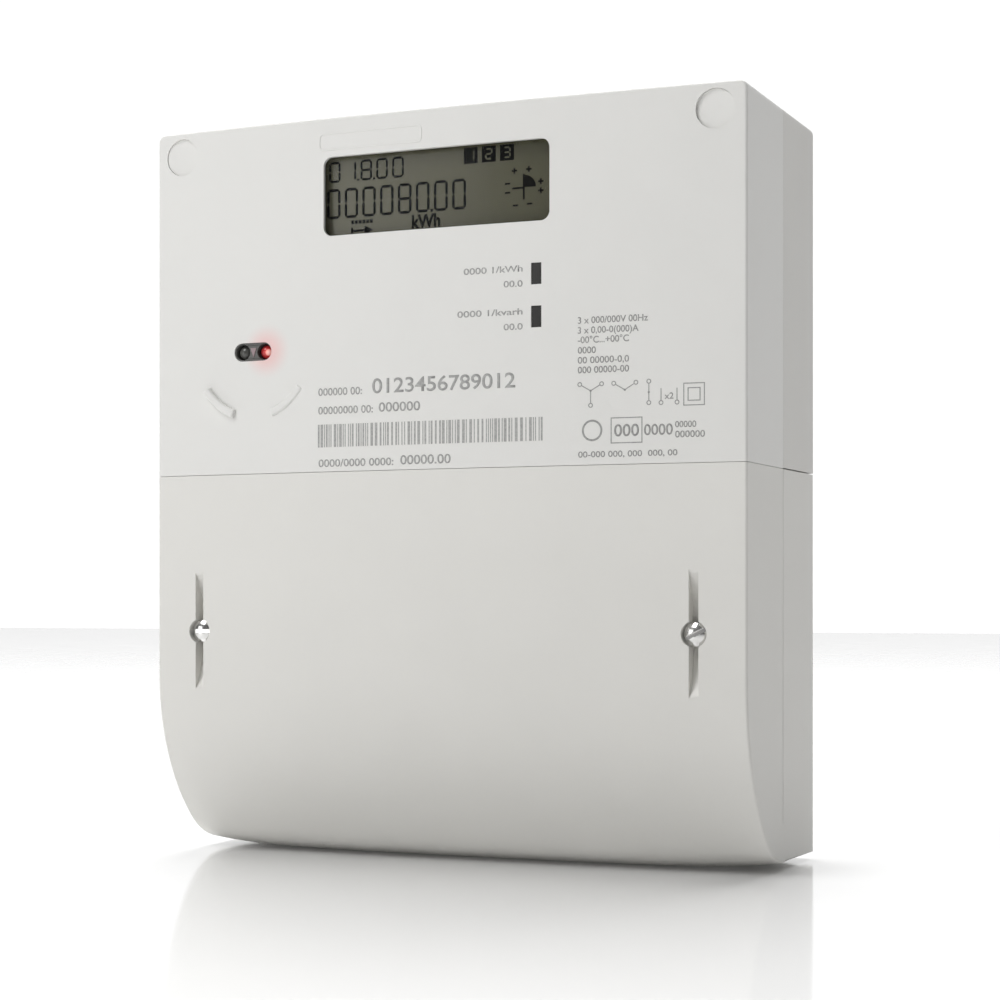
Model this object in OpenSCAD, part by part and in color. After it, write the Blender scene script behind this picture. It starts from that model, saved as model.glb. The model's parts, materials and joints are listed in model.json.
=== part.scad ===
// Three-phase smart electricity meter, directly connected, wall mounted.
// +X is to the right as the meter is read, -Y is the front, +Y is the wall, +Z is up.
// The origin is under the middle of the case. Depths, named d, are measured forwards from the wall.

/* [Case] */
// Width of the case
case_w = 168; // [164:1:180]
// Height of the case
case_h = 195; // [192:1:210]
// Depth from the wall to the middle of the crowned front
case_d = 63; // [61:0.5:66]
// How far the front bulges at its middle
crown = 2.6; // [1:0.1:3]
// Wall thickness of the plastic shells
wall = 2.2; // [1.8:0.1:2.6]
// Height of the seam between the front cover and the terminal cover
seam_z = 101.5; // [100:0.5:103]
// Depth of the rear case, from the wall to the parting line
rear_d = 28.7; // [27:0.1:30]
// Radius of the moulded edges round the front
edge_r = 1.4; // [0.8:0.1:2]
// Radius of the case's top corners
corner_r = 2; // [1.5:0.1:3]

/* [Terminal cover] */
// Radius of the large curve under the front
sweep_r = 57.5; // [50:0.5:64]
// Height at which the large curve begins
sweep_z = 47.4; // [45:0.1:49]
// Distance of the cover screws from the middle
screw_x = 70.5; // [69:0.1:71.5]
// Height of the cover screws
screw_z = 59.3; // [57:0.1:61]
// Length of the scooped groove in which each cover screw sits
groove_len = 32; // [26:1:36]
// Width of the scooped groove
groove_w = 2.5; // [2:0.1:3]
// Depth of the scooped groove at its middle
groove_depth = 4.5; // [3:0.1:5]

/* [Cover screws] */
// Radius of the slotted head
head_r = 3.05; // [2.9:0.05:3.3]
// Radius of the screw's shank
shank_r = 2; // [1.9:0.1:2.1]
// Depth from the wall at which the screw ends
screw_tip_d = 30; // [29:0.5:31]

/* [Display] */
// Distance of the display's centre from the middle
display_x = 0.6; // [-2:0.1:2]
// Height of the display's centre
display_z = 174.1; // [172:0.1:176]
// Width of the display opening
display_w = 64.4; // [60:0.1:66]
// Height of the display opening
display_h = 20.8; // [18:0.1:22]

/* [Optical port and pulse outputs] */
// Distance of the optical port from the middle
port_x = -53.4; // [-55:0.1:-50]
// Height of the optical port
port_z = 134.3; // [132:0.1:137]
// Distance between the optical emitter and the receiver
port_pitch = 6.5; // [6:0.1:7]
// Distance of the pulse windows from the middle
pulse_x = 29.2; // [27:0.1:31]
// Height of the upper pulse window
pulse_z = 150.4; // [148:0.1:152]
// Distance from one pulse window down to the next
pulse_pitch = 10.9; // [9:0.1:12]

/* [Terminals] */
// Distance between neighbouring terminals
terminal_pitch = 15.5; // [15:0.1:15.6]
// Radius of the cable bore of a terminal
bore_r = 4.75; // [4.5:0.05:4.8]
// Depth from the wall of the cable bores
bore_d = 15; // [14:0.5:16]

/* [Wall fixing] */
// Distance between the two lower fixing holes
fix_pitch = 150; // [146:1:151]
// Height of the two lower fixing holes
fix_z = 16; // [12:1:20]
// Radius of the two lower fixing holes
fix_r = 2.75; // [2.5:0.05:3]
// Radius of the round entry of the hanging keyhole
key_r = 5; // [4.5:0.1:5.5]
// Height of the keyhole's entry
key_z = 174; // [170:1:176]

/* [Hidden] */

half_w = case_w / 2;
wall_y = case_d / 2;
slot_gap = 0.35;          // the thin gap at the seam and at the parting line
run_gap = 0.4;            // room between pieces that slide past each other
cut = 1;                  // how far a cutter reaches past the surface
upper_z = seam_z + slot_gap;
cover_d = rear_d + slot_gap;
floor_d = 2.5;            // thickness of the wall-side panel
panel_half = half_w - wall - run_gap;

// Front of the case at a distance x from the middle
function face_d(x) = case_d - crown * pow(x / half_w, 2);

// Circular stretch of an outline
function bend(cx, cy, r, a0, a1, n) =
  [for (i = [0:n]) [cx + r * cos(a0 + (a1 - a0) * i / n), cy + r * sin(a0 + (a1 - a0) * i / n)]];

// ---- shared shapes ----

// Box given by its limits across, out from the wall and up
module slab(x0, x1, d0, d1, z0, z1) {
  translate([x0, wall_y - d1, z0]) cube([x1 - x0, d1 - d0, z1 - z0]);
}

// Round bar that points out from the wall
module rod(x, z, d0, d1, r) {
  translate([x, wall_y - d0, z]) rotate([90, 0, 0]) cylinder(h = d1 - d0, r = r, $fn = 48);
}

// Upright round bar
module pillar(x, d, z0, z1, r) {
  translate([x, wall_y - d, z0]) cylinder(h = z1 - z0, r = r, $fn = 48);
}

// Rounded slab with its face towards the reader
module plate(x0, x1, d0, d1, z0, z1, r) {
  translate([0, wall_y - d0, 0]) rotate([90, 0, 0]) linear_extrude(d1 - d0)
    polygon(concat(
      bend(x1 - r, z1 - r, r, 0, 90, 6), bend(x0 + r, z1 - r, r, 90, 180, 6),
      bend(x0 + r, z0 + r, r, 180, 270, 6), bend(x1 - r, z0 + r, r, 270, 360, 6)));
}

// Slab as wide as the case, above the seam, whose top corners are rounded
module upper_plate(d0, d1) {
  plate(-half_w, half_w, d0, d1, upper_z, case_h, corner_r);
  slab(-half_w, half_w, d0, d1, upper_z, upper_z + corner_r);
}

// Outline of the case seen from above: straight sides, rounded front corners, crowned front
module plan(inset, r, d0) {
  side = half_w - inset;
  corner_d = face_d(side - r) - inset - r;
  right = bend(side - r, corner_d, r, 0, 90, 5);
  face = [for (i = [1:23]) let (x = (side - r) * (1 - i / 12)) [x, face_d(x) - inset]];
  left = bend(r - side, corner_d, r, 90, 180, 5);
  polygon([for (p = concat([[side, d0]], right, face, left, [[-side, d0]])) [p[0], wall_y - p[1]]]);
}

// Upright block with the crowned plan
module crowned_block(inset, r, d0, z0, z1) {
  translate([0, 0, z0]) linear_extrude(z1 - z0) plan(inset, r, d0);
}

// Round head with a straight slot, for screws that face the reader
module slotted_head(x, z, d0, d1, r, slot_w, slot_depth) {
  difference() {
    rod(x, z, d0, d1, r);
    slab(x - r - cut, x + r + cut, d1 - slot_depth, d1 + cut, z - slot_w / 2, z + slot_w / 2);
  }
}

// ---- rear case ----

post_d = 36;              // front of the posts that the cover screws go into
post_r = 4.6;
insert_r = 3;
insert_len = 8;
board_d = 33.2;           // back of the main board
board_t = 1.6;
board_front_d = board_d + board_t;
board_half_w = 74;
board_z0 = 107;
board_z1 = 187;
board_post_x = 69.5;
board_post_z = [111, 181];
corner_x = 76;            // corner plugs and the case screws under them
corner_z = 188.4;
plug_r = 5;
case_boss_r = 6;
case_shank_r = 1.5;
case_head_r = 3.4;
case_post_d = 26;
case_tip_d = 16;          // depth at which the case screws end
case_seat_d = 40;         // depth on which their heads rest
tunnel_d = 36;            // back of the screw tunnels in the front cover
key_slot_r = 2.6;
key_rise = 9;
key_pocket_d = 9;

module base_case() color("#d3d2cd") difference() {
  union() {
    upper_plate(0, floor_d);
    difference() {
      upper_plate(floor_d - cut, rear_d);
      plate(-half_w + wall, half_w - wall, floor_d, rear_d + cut,
        upper_z + wall, case_h - wall, corner_r / 2);
    }
    slab(-panel_half, panel_half, 0, floor_d, 0, upper_z + cut);
    for (side = [-1, 1]) {
      rod(side * screw_x, screw_z, floor_d - cut, post_d, post_r);
      rod(side * corner_x, corner_z, floor_d - cut, case_post_d, 4.2);
      rod(side * fix_pitch / 2, fix_z, floor_d - cut, floor_d + 3, 5.4);
      for (z = board_post_z) rod(side * board_post_x, z, floor_d - cut, board_d, 3.2);
    }
    slab(-9, 9, floor_d - cut, key_pocket_d, key_z - 8, key_z + key_rise + 6);
  }
  // keyhole: a round entry, a slot above it, and room behind the panel for the screw's head
  rod(0, key_z, -cut, key_pocket_d - 2, key_r);
  slab(-key_slot_r, key_slot_r, -cut, floor_d + cut, key_z, key_z + key_rise);
  rod(0, key_z + key_rise, -cut, floor_d + cut, key_slot_r);
  slab(-key_r - 1.5, key_r + 1.5, floor_d, key_pocket_d - 2, key_z - 6, key_z + key_rise + 4);
  for (side = [-1, 1]) {
    rod(side * fix_pitch / 2, fix_z, -cut, floor_d + 4, fix_r);
    rod(side * screw_x, screw_z, post_d - insert_len, post_d + cut, insert_r);
    rod(side * screw_x, screw_z, floor_d + 1, post_d, shank_r + 0.4);
    rod(side * corner_x, corner_z, floor_d + 2, case_post_d + cut, case_shank_r + 0.06);
    for (z = board_post_z) rod(side * board_post_x, z, board_d - 12, board_d + cut, 1.15);
  }
  // slots in the shelf for the busbars
  for (i = [0:7])
    slab(terminal_x(i) - bar_slot_w / 2, terminal_x(i) + bar_slot_w / 2,
      bore_d - bar_slot_t / 2, bore_d + bar_slot_t / 2, upper_z - cut, upper_z + wall + cut);
}

module case_gasket() color("#4a4a48") difference() {
  plate(-half_w + wall, half_w - wall, rear_d - 2.2, rear_d, upper_z + wall, case_h - wall, corner_r / 2);
  plate(-half_w + wall + 1.6, half_w - wall - 1.6, rear_d - 2.2 - cut, rear_d + cut,
    upper_z + wall + 1.6, case_h - wall - 1.6, corner_r / 4);
}

module cover_screw_inserts() color("#c9a552") for (side = [-1, 1]) difference() {
  rod(side * screw_x, screw_z, post_d - insert_len, post_d, insert_r);
  rod(side * screw_x, screw_z, post_d - insert_len - cut, post_d + cut, shank_r + 0.05);
}

// ---- terminals ----

block_half_w = 62.4;
block_z0 = 62;
block_z1 = 99;
block_d = 40;
cage_half_w = 6.2;
cage_d0 = 8.6;
cage_d1 = 24;
cage_z0 = 65.6;
cage_z1 = 96;
bore_top_z = 88;
clamp_z = [71.5, 82.5];
clamp_r = 2.5;
clamp_head_r = 3.2;
clamp_head_d = 31;
bar_half_w = 3;
bar_half_t = 1.25;
bar_slot_w = 7.2;         // slot in the shelf that a busbar's leg passes through
bar_slot_t = 4;

function terminal_x(i) = (i - 3.5) * terminal_pitch;

module terminal_block() color("#3b3d40") difference() {
  slab(-block_half_w, block_half_w, floor_d, block_d, block_z0, block_z1);
  for (i = [0:7]) {
    slab(terminal_x(i) - cage_half_w, terminal_x(i) + cage_half_w, cage_d0, cage_d1, cage_z0, cage_z1);
    slab(terminal_x(i) - bar_half_w, terminal_x(i) + bar_half_w,
      bore_d - bar_half_t, bore_d + bar_half_t, cage_z1 - cut, block_z1 + cut);
    pillar(terminal_x(i), bore_d, block_z0 - cut, cage_z0 + cut, bore_r + 0.5);
    for (z = clamp_z) rod(terminal_x(i), z, cage_d1 - cut, block_d + cut, clamp_head_r + 0.4);
  }
}

// Brass cage clamp: cable bore from below, two clamp screws from the front, busbar slot in its top
module cage(i) color("#c8a951") difference() {
  slab(terminal_x(i) - cage_half_w, terminal_x(i) + cage_half_w, cage_d0, cage_d1, cage_z0, cage_z1);
  pillar(terminal_x(i), bore_d, cage_z0 - cut, bore_top_z, bore_r);
  slab(terminal_x(i) - bar_half_w, terminal_x(i) + bar_half_w,
    bore_d - bar_half_t, bore_d + bar_half_t, bore_top_z + 1, cage_z1 + cut);
  for (z = clamp_z) rod(terminal_x(i), z, bore_d, cage_d1 + cut, clamp_r + 0.05);
}

module terminal_l1_in() cage(0);
module terminal_l1_out() cage(1);
module terminal_l2_in() cage(2);
module terminal_l2_out() cage(3);
module terminal_l3_in() cage(4);
module terminal_l3_out() cage(5);
module terminal_n_in() cage(6);
module terminal_n_out() cage(7);

module terminal_screws() color("#b9bcbf") for (i = [0:7], z = clamp_z) {
  rod(terminal_x(i), z, bore_d + bore_r + 0.4, clamp_head_d - 3, clamp_r);
  slotted_head(terminal_x(i), z, clamp_head_d - 3, clamp_head_d, clamp_head_r, 1, 1.4);
}

// Copper strap from one cage up through the shelf, across and down into the next cage
module busbar(i, top_z) color("#b87a4b") {
  for (k = [i, i + 1])
    slab(terminal_x(k) - bar_half_w, terminal_x(k) + bar_half_w,
      bore_d - bar_half_t, bore_d + bar_half_t, bore_top_z + 1, top_z - 2 * bar_half_t);
  slab(terminal_x(i) - bar_half_w, terminal_x(i + 1) + bar_half_w,
    bore_d - bar_half_t, bore_d + bar_half_t, top_z - 2 * bar_half_t, top_z);
}

busbar_top = 134;
neutral_top = 114;
module busbar_l1() busbar(0, busbar_top);
module busbar_l2() busbar(2, busbar_top);
module busbar_l3() busbar(4, busbar_top);
module neutral_link() busbar(6, neutral_top);

// Ring-core current transformer round the incoming leg of a busbar
ring_r = 11;
ring_hole_r = 4.6;
ring_z = [112, 123];
module current_transformer(i) color("#2f4b6b") difference() {
  pillar(terminal_x(i), bore_d, ring_z[0], ring_z[1], ring_r);
  pillar(terminal_x(i), bore_d, ring_z[0] - cut, ring_z[1] + cut, ring_hole_r);
}
module current_transformer_l1() current_transformer(0);
module current_transformer_l2() current_transformer(2);
module current_transformer_l3() current_transformer(4);

aux_half_w = 18;
aux_z = [88.5, 99];
aux_d = 50;
aux_count = 6;
function aux_x(i) = (i - (aux_count - 1) / 2) * 5;

module aux_terminal_block() color("#5d6063") difference() {
  slab(-aux_half_w, aux_half_w, block_d, aux_d, aux_z[0], aux_z[1]);
  for (i = [0:aux_count - 1]) {
    rod(aux_x(i), aux_z[1] - 4, block_d + 2, aux_d + cut, 1.9);
    pillar(aux_x(i), block_d + 4, aux_z[0] - cut, aux_z[1] - 6.4, 1.3);
  }
}

module aux_terminal_screws() color("#c3c5c6") for (i = [0:aux_count - 1])
  slotted_head(aux_x(i), aux_z[1] - 4, block_d + 2, aux_d - 1.5, 1.7, 0.6, 0.8);

// ---- electronics ----

module main_board() color("#2e6b45") difference() {
  slab(-board_half_w, board_half_w, board_d, board_front_d, board_z0, board_z1);
  for (side = [-1, 1]) {
    for (z = board_post_z) rod(side * board_post_x, z, board_d - cut, board_front_d + cut, 1.6);
    // corner notches clear the case screws
    rod(side * corner_x, corner_z, board_d - cut, board_front_d + cut, case_boss_r + 2);
  }
}

module board_screws() color("#b9bcbf") for (side = [-1, 1], z = board_post_z) {
  rod(side * board_post_x, z, board_d - 8, board_front_d, 1.1);
  slotted_head(side * board_post_x, z, board_front_d, board_front_d + 2, 2.8, 0.8, 1);
}

glass_w = display_w + 7;
glass_h = display_h + 8;
window_t = 1.6;
window_h = glass_h - 2;
rim_t = 0.9;              // what is left of the cover's wall in front of the window
fit_gap = 0.15;           // room round the window in its pocket
window_d = face_d(display_x + display_w / 2) - rim_t;   // front of the clear window
glass_front_d = window_d - window_t - 0.3;
glass_t = 2.6;
light_t = 3;
holder_t = 1.6;
glass_d = glass_front_d - glass_t;
light_d = glass_d - light_t;
contact_t = 2;

module display_glass() color("#5d5c46")
  slab(display_x - glass_w / 2, display_x + glass_w / 2, glass_d, glass_front_d,
    display_z - glass_h / 2, display_z + glass_h / 2);

module display_backlight() color("#e8e6da")
  slab(display_x - glass_w / 2, display_x + glass_w / 2, light_d, glass_d,
    display_z - glass_h / 2 + contact_t + 0.4, display_z + glass_h / 2 - contact_t - 0.4);

// Conductive rubber strips between the display's edges and the board
module display_contacts() color("#383838") for (side = [-1, 1])
  translate([0, 0, side * (glass_h - contact_t) / 2])
    slab(display_x - glass_w / 2 + 2, display_x + glass_w / 2 - 2, board_front_d, glass_d,
      display_z - contact_t / 2, display_z + contact_t / 2);

module display_holder() color("#e4e3de") difference() {
  slab(display_x - glass_w / 2 - holder_t, display_x + glass_w / 2 + holder_t,
    board_front_d, glass_front_d - 0.6, display_z - glass_h / 2 - holder_t, display_z + glass_h / 2 + holder_t);
  slab(display_x - glass_w / 2, display_x + glass_w / 2, light_d, glass_front_d + cut,
    display_z - glass_h / 2, display_z + glass_h / 2);
  slab(display_x - glass_w / 2 + 2, display_x + glass_w / 2 - 2, board_front_d - cut, glass_d,
    display_z - glass_h / 2, display_z + glass_h / 2);
}

module supply_transformer() color("#c9a227") {
  slab(40, 62, board_front_d, board_front_d + 15, 112, 132);
  slab(38, 64, board_front_d + 3, board_front_d + 12, 115, 129);
}

module supply_capacitors() color("#30343c") {
  rod(22, 118, board_front_d, board_front_d + 16, 5);
  rod(10, 118, board_front_d, board_front_d + 16, 5);
  rod(0, 122, board_front_d, board_front_d + 11, 3.2);
}

module surge_varistors() color("#2a5fa8") for (i = [0:2])
  translate([-34 + i * 12, wall_y - board_front_d - 9, 112]) rotate([0, 90, 0])
    cylinder(h = 4, r = 6, $fn = 48);

module backup_battery() color("#7c8a5a") {
  translate([46, wall_y - board_front_d - 7.4, 154]) cylinder(h = 25, r = 7.2, $fn = 48);
  translate([46, wall_y - board_front_d - 7.4, 179]) cylinder(h = 1.2, r = 2.5, $fn = 32);
}

module metering_chip() color("#26272a") slab(-20, -9, board_front_d, board_front_d + 1.6, 128, 139);
module processor_chip() color("#26272a") slab(0, 14, board_front_d, board_front_d + 1.5, 138, 152);

led_top_d = board_front_d + 6;
module pulse_leds() color("#d8d4d0") for (i = [0, 1]) {
  rod(pulse_x, pulse_z - i * pulse_pitch, board_front_d, led_top_d, 1.5);
  rod(pulse_x, pulse_z - i * pulse_pitch, board_front_d, board_front_d + 1, 1.9);
}

port_front_d = face_d(port_x) - 0.6;
port_root_d = port_front_d - 7;
opto_r = 1.9;

module optical_holder() color("#2b2b2d") difference() {
  plate(port_x - 6.4, port_x + 6.4, board_front_d, port_root_d, port_z - 3.4, port_z + 3.4, 2);
  for (side = [-1, 1])
    rod(port_x + side * port_pitch / 2, port_z, board_front_d - cut, port_root_d + cut, opto_r);
}

// One domed optical element on its legs
module opto(side) {
  x = port_x + side * port_pitch / 2;
  rod(x, port_z, board_front_d, port_front_d - opto_r, opto_r);
  translate([x, wall_y - port_front_d + opto_r, port_z]) sphere(r = opto_r, $fn = 48);
}
module optical_emitter() color("#d23a3a") opto(1);
module optical_receiver() color("#1c1c20") opto(-1);

// ---- front cover and what is fixed in it ----

recess_depth = 0.6;       // how far the corner plugs lie below the face
plug_t = 2.4;
pill_w = 11.6;
pill_h = 4.9;
rib_r = 17.4;             // ribs that centre a reading head on the optical port
rib_w = 2.4;
rib_h = 0.8;
rib_from = 34;
rib_to = 71;
pulse_w = 2.8;
pulse_h = 5.5;
front_d = face_d(0);

module front_cover() color("#deddda") difference() {
  union() {
    difference() {
      intersection() {
        crowned_block(0, edge_r, cover_d, upper_z, case_h);
        upper_plate(0, case_d + cut);
      }
      crowned_block(wall, edge_r / 2, cover_d - cut, upper_z + wall, case_h - wall);
    }
    // rim round the display window, collars for the optical port and screw tunnels in the corners
    intersection() {
      crowned_block(0.5, edge_r, cover_d, upper_z + 0.5, case_h - 0.5);
      union() {
        plate(port_x - pill_w / 2 - 1.5, port_x + pill_w / 2 + 1.5, port_root_d + 1, case_d,
          port_z - pill_h / 2 - 1.5, port_z + pill_h / 2 + 1.5, 2);
        for (side = [-1, 1]) rod(side * corner_x, corner_z, tunnel_d, case_d, case_boss_r);
      }
    }
    locating_ribs();
  }
  plate(display_x - display_w / 2, display_x + display_w / 2, window_d - cut, case_d + cut,
    display_z - display_h / 2, display_z + display_h / 2, 2.4);
  slab(display_x - glass_w / 2 - fit_gap, display_x + glass_w / 2 + fit_gap,
    window_d - 2 * window_t, window_d, display_z - window_h / 2 - fit_gap, display_z + window_h / 2 + fit_gap);
  for (i = [0, 1])
    slab(pulse_x - pulse_w / 2, pulse_x + pulse_w / 2, front_d - 8, case_d + cut,
      pulse_z - i * pulse_pitch - pulse_h / 2, pulse_z - i * pulse_pitch + pulse_h / 2);
  plate(port_x - pill_w / 2, port_x + pill_w / 2, port_root_d, case_d + cut,
    port_z - pill_h / 2, port_z + pill_h / 2, pill_h / 2 - 0.01);
  for (side = [-1, 1]) {
    rod(side * corner_x, corner_z, face_d(corner_x) - recess_depth - plug_t, case_d + cut, plug_r);
    rod(side * corner_x, corner_z, case_seat_d, case_d, case_head_r + 0.3);
    rod(side * corner_x, corner_z, tunnel_d - cut, case_d, case_shank_r + 0.2);
  }
}

// Two curved ribs below the optical port, which follow the crowned face
module locating_ribs() intersection() {
  crowned_block(-rib_h, edge_r, cover_d, upper_z, case_h);
  for (side = [-1, 1])
    translate([0, wall_y - face_d(port_x) + 2, 0]) rotate([90, 0, 0])
      linear_extrude(case_d - face_d(port_x) + 2) translate([port_x, port_z]) polygon(concat(
        bend(0, 0, rib_r + rib_w / 2, -90 + side * (90 - rib_from), -90 + side * (90 - rib_to), 12),
        bend(0, 0, rib_r - rib_w / 2, -90 + side * (90 - rib_to), -90 + side * (90 - rib_from), 12)));
}

module display_window() color([0.85, 0.88, 0.88, 0.35])
  slab(display_x - glass_w / 2, display_x + glass_w / 2, window_d - window_t, window_d,
    display_z - window_h / 2, display_z + window_h / 2);

module pulse_windows() color("#3e3d3b") for (i = [0, 1])
  translate([0, 0, -i * pulse_pitch])
    slab(pulse_x - pulse_w / 2, pulse_x + pulse_w / 2, led_top_d + 0.5, face_d(pulse_x) - 0.2,
      pulse_z - pulse_h / 2, pulse_z + pulse_h / 2);

module optical_window() color("#1f1d1e") difference() {
  plate(port_x - pill_w / 2, port_x + pill_w / 2, port_root_d + 0.4, face_d(port_x) - 0.5,
    port_z - pill_h / 2, port_z + pill_h / 2, pill_h / 2 - 0.01);
  for (side = [-1, 1])
    rod(port_x + side * port_pitch / 2, port_z, port_root_d - cut, case_d, opto_r + 0.2);
}

module corner_plug(side) color("#dcdbd7")
  rod(side * corner_x, corner_z, face_d(corner_x) - recess_depth - plug_t,
    face_d(corner_x) - recess_depth, plug_r - 0.05);
module corner_plug_left() corner_plug(-1);
module corner_plug_right() corner_plug(1);

module case_screws() color("#b9bcbf") for (side = [-1, 1]) {
  rod(side * corner_x, corner_z, case_tip_d, case_seat_d, case_shank_r);
  slotted_head(side * corner_x, corner_z, case_seat_d, case_seat_d + 2.6, case_head_r, 0.9, 1.2);
}

// ---- terminal cover and its captive screws ----

sweep_a = 45;             // angle through which the large curve runs
sweep_end_z = sweep_z - sweep_r * sin(sweep_a);
toe_r = sweep_end_z / (1 - sin(sweep_a));
entry_half_w = 66;        // opening in the underside for the cables
entry_d = 24;
seat_d = face_d(screw_x) - 2.6;
boss_d = 53;
head_t = 2.2;             // height of a cover screw's head
head_slot_w = 1;
head_slot_depth = 1.3;
dome_r = 5.4;             // radius of the dome on the head

// Side outline of the terminal cover: upright front, large curve, smaller curve, flat underside
module cover_side(inset, d0) {
  front = case_d - inset;
  flat_d = case_d - sweep_r * (1 - cos(sweep_a)) - toe_r * cos(sweep_a);
  polygon([for (p = concat(
    [[d0, seam_z], [front, seam_z], [front, sweep_z]],
    bend(case_d - sweep_r, sweep_z, sweep_r - inset, 0, -sweep_a, 16),
    bend(flat_d, toe_r, toe_r - inset, -sweep_a, -90, 10),
    [[d0, inset]])) [wall_y - p[0], p[1]]]);
}

module cover_solid(inset, d0) intersection() {
  translate([0, 0, -cut]) linear_extrude(seam_z + 2 * cut) plan(inset, edge_r, d0);
  translate([-half_w, 0, 0]) rotate([90, 0, 90]) linear_extrude(case_w) cover_side(inset, d0);
}

module terminal_cover() color("#d9d8d2") difference() {
  union() {
    difference() {
      cover_solid(0, 0.2);
      cover_solid(wall, -cut);
      slab(-half_w + wall, half_w - wall, -cut, case_d - 2 * wall, seam_z - 2 * cut, seam_z + cut);
    }
    // thickened strips behind the grooves
    for (side = [-1, 1]) intersection() {
      cover_solid(0.5, 2 * cut);
      slab(side * screw_x - 4.4, side * screw_x + 4.4, boss_d, case_d,
        screw_z - groove_len / 2 - 3, screw_z + groove_len / 2 + 3);
    }
  }
  slab(-entry_half_w, entry_half_w, -cut, entry_d, -cut, wall + 2 * cut);
  slab(-panel_half - run_gap, panel_half + run_gap, -cut, floor_d + 0.3, -cut, wall + cut);
  for (side = [-1, 1]) {
    scoop(side);
    rod(side * screw_x, screw_z, seat_d, case_d + cut, head_r + 0.25);
    rod(side * screw_x, screw_z, boss_d - cut, case_d, shank_r + 0.5);
    slab(side * half_w - 0.3, side * half_w + 0.3, rear_d, rear_d + slot_gap, 10, seam_z + cut);
  }
}

// Groove cut by a thin disc, deepest at the screw
module scoop(side) {
  r = (pow(groove_len / 2, 2) + pow(groove_depth, 2)) / (2 * groove_depth);
  translate([side * screw_x - groove_w / 2, wall_y - face_d(screw_x) + groove_depth - r, screw_z])
    rotate([0, 90, 0]) cylinder(h = groove_w, r = r, $fn = 160);
}

module cover_screw(side) color("#c4c7c9") {
  x = side * screw_x;
  rod(x, screw_z, screw_tip_d, seat_d + 0.1, shank_r);
  difference() {
    intersection() {
      rod(x, screw_z, seat_d + 0.1, seat_d + head_t, head_r);
      translate([x, wall_y - seat_d - head_t + dome_r, screw_z]) sphere(r = dome_r, $fn = 64);
    }
    slab(x - head_r - cut, x + head_r + cut, seat_d + head_t - head_slot_depth, case_d + 3 * cut,
      screw_z - head_slot_w / 2, screw_z + head_slot_w / 2);
  }
}
module cover_screw_left() cover_screw(-1);
module cover_screw_right() cover_screw(1);

// Washer on the shank that stops the screw falling out of the cover
retainer_d = 44.5;
module screw_retainer(side) color("#e6e4dc") difference() {
  rod(side * screw_x, screw_z, retainer_d, retainer_d + 1.2, 4);
  rod(side * screw_x, screw_z, retainer_d - cut, retainer_d + 1.2 + cut, shank_r + 0.05);
}
module screw_retainer_left() screw_retainer(-1);
module screw_retainer_right() screw_retainer(1);

base_case();
case_gasket();
terminal_block();
terminal_l1_in();
terminal_l1_out();
terminal_l2_in();
terminal_l2_out();
terminal_l3_in();
terminal_l3_out();
terminal_n_in();
terminal_n_out();
terminal_screws();
busbar_l1();
busbar_l2();
busbar_l3();
neutral_link();
current_transformer_l1();
current_transformer_l2();
current_transformer_l3();
aux_terminal_block();
aux_terminal_screws();
cover_screw_inserts();
main_board();
board_screws();
display_holder();
display_backlight();
display_glass();
display_contacts();
supply_transformer();
supply_capacitors();
surge_varistors();
backup_battery();
metering_chip();
processor_chip();
pulse_leds();
optical_holder();
optical_emitter();
optical_receiver();
front_cover();
display_window();
pulse_windows();
optical_window();
corner_plug_left();
corner_plug_right();
case_screws();
terminal_cover();
cover_screw_left();
cover_screw_right();
screw_retainer_left();
screw_retainer_right();
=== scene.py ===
"""Three-phase electricity meter: moulded case, display, optical port and screwed terminal cover."""
import bmesh
import bpy
import json
import math
import random
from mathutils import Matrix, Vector


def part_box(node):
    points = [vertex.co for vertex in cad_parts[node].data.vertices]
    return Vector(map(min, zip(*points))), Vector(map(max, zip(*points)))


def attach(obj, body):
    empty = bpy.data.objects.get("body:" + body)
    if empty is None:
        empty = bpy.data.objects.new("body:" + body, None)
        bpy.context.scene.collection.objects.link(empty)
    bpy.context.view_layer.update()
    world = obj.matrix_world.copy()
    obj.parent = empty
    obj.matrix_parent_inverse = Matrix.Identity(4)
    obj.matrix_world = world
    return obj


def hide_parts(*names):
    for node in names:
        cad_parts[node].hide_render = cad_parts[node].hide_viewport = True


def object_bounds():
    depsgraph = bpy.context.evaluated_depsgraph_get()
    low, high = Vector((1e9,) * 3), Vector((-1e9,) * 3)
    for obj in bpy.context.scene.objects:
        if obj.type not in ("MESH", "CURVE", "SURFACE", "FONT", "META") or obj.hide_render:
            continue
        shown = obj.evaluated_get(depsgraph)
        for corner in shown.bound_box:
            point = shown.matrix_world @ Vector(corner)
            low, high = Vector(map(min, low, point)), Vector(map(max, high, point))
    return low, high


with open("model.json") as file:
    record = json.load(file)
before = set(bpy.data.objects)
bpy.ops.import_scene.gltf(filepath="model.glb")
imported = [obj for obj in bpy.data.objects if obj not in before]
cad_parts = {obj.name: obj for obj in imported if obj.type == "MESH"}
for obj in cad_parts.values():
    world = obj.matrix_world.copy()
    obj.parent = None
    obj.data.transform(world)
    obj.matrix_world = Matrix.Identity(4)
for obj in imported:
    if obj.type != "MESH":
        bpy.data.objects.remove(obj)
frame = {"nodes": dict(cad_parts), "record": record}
cad_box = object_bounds()

# ---- sizes in millimetres: x across, d out from the wall, z up ----

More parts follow.
